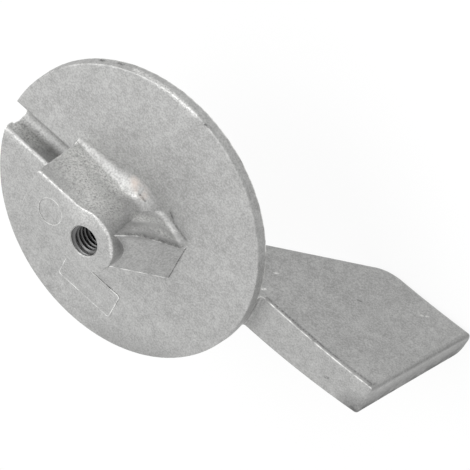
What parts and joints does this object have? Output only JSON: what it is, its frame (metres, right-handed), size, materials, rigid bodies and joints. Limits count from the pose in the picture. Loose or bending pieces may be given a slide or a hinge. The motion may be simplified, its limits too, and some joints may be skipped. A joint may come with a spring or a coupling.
{
  "type": "sacrificial anode",
  "caption": "Cast trim-tab sacrificial anode: round disc with a tapped boss and a forward groove on top, and a swept, gently bent fin below.",
  "frame": {"origin": "centre of the mouth of the tapped hole, in the boss's top face", "axes": "+Z along the tapped hole and the disc's axis, out of the hole's mouth and up into the gearcase; +X aft along the fin; +Y to starboard"},
  "size_m": [0.1448, 0.095, 0.0754],
  "materials": {
    "anode_alloy": "matte as-cast"
  },
  "bodies": {
    "root": {"trim_tab_anode": "anode_alloy"}
  },
  "joints": []
}
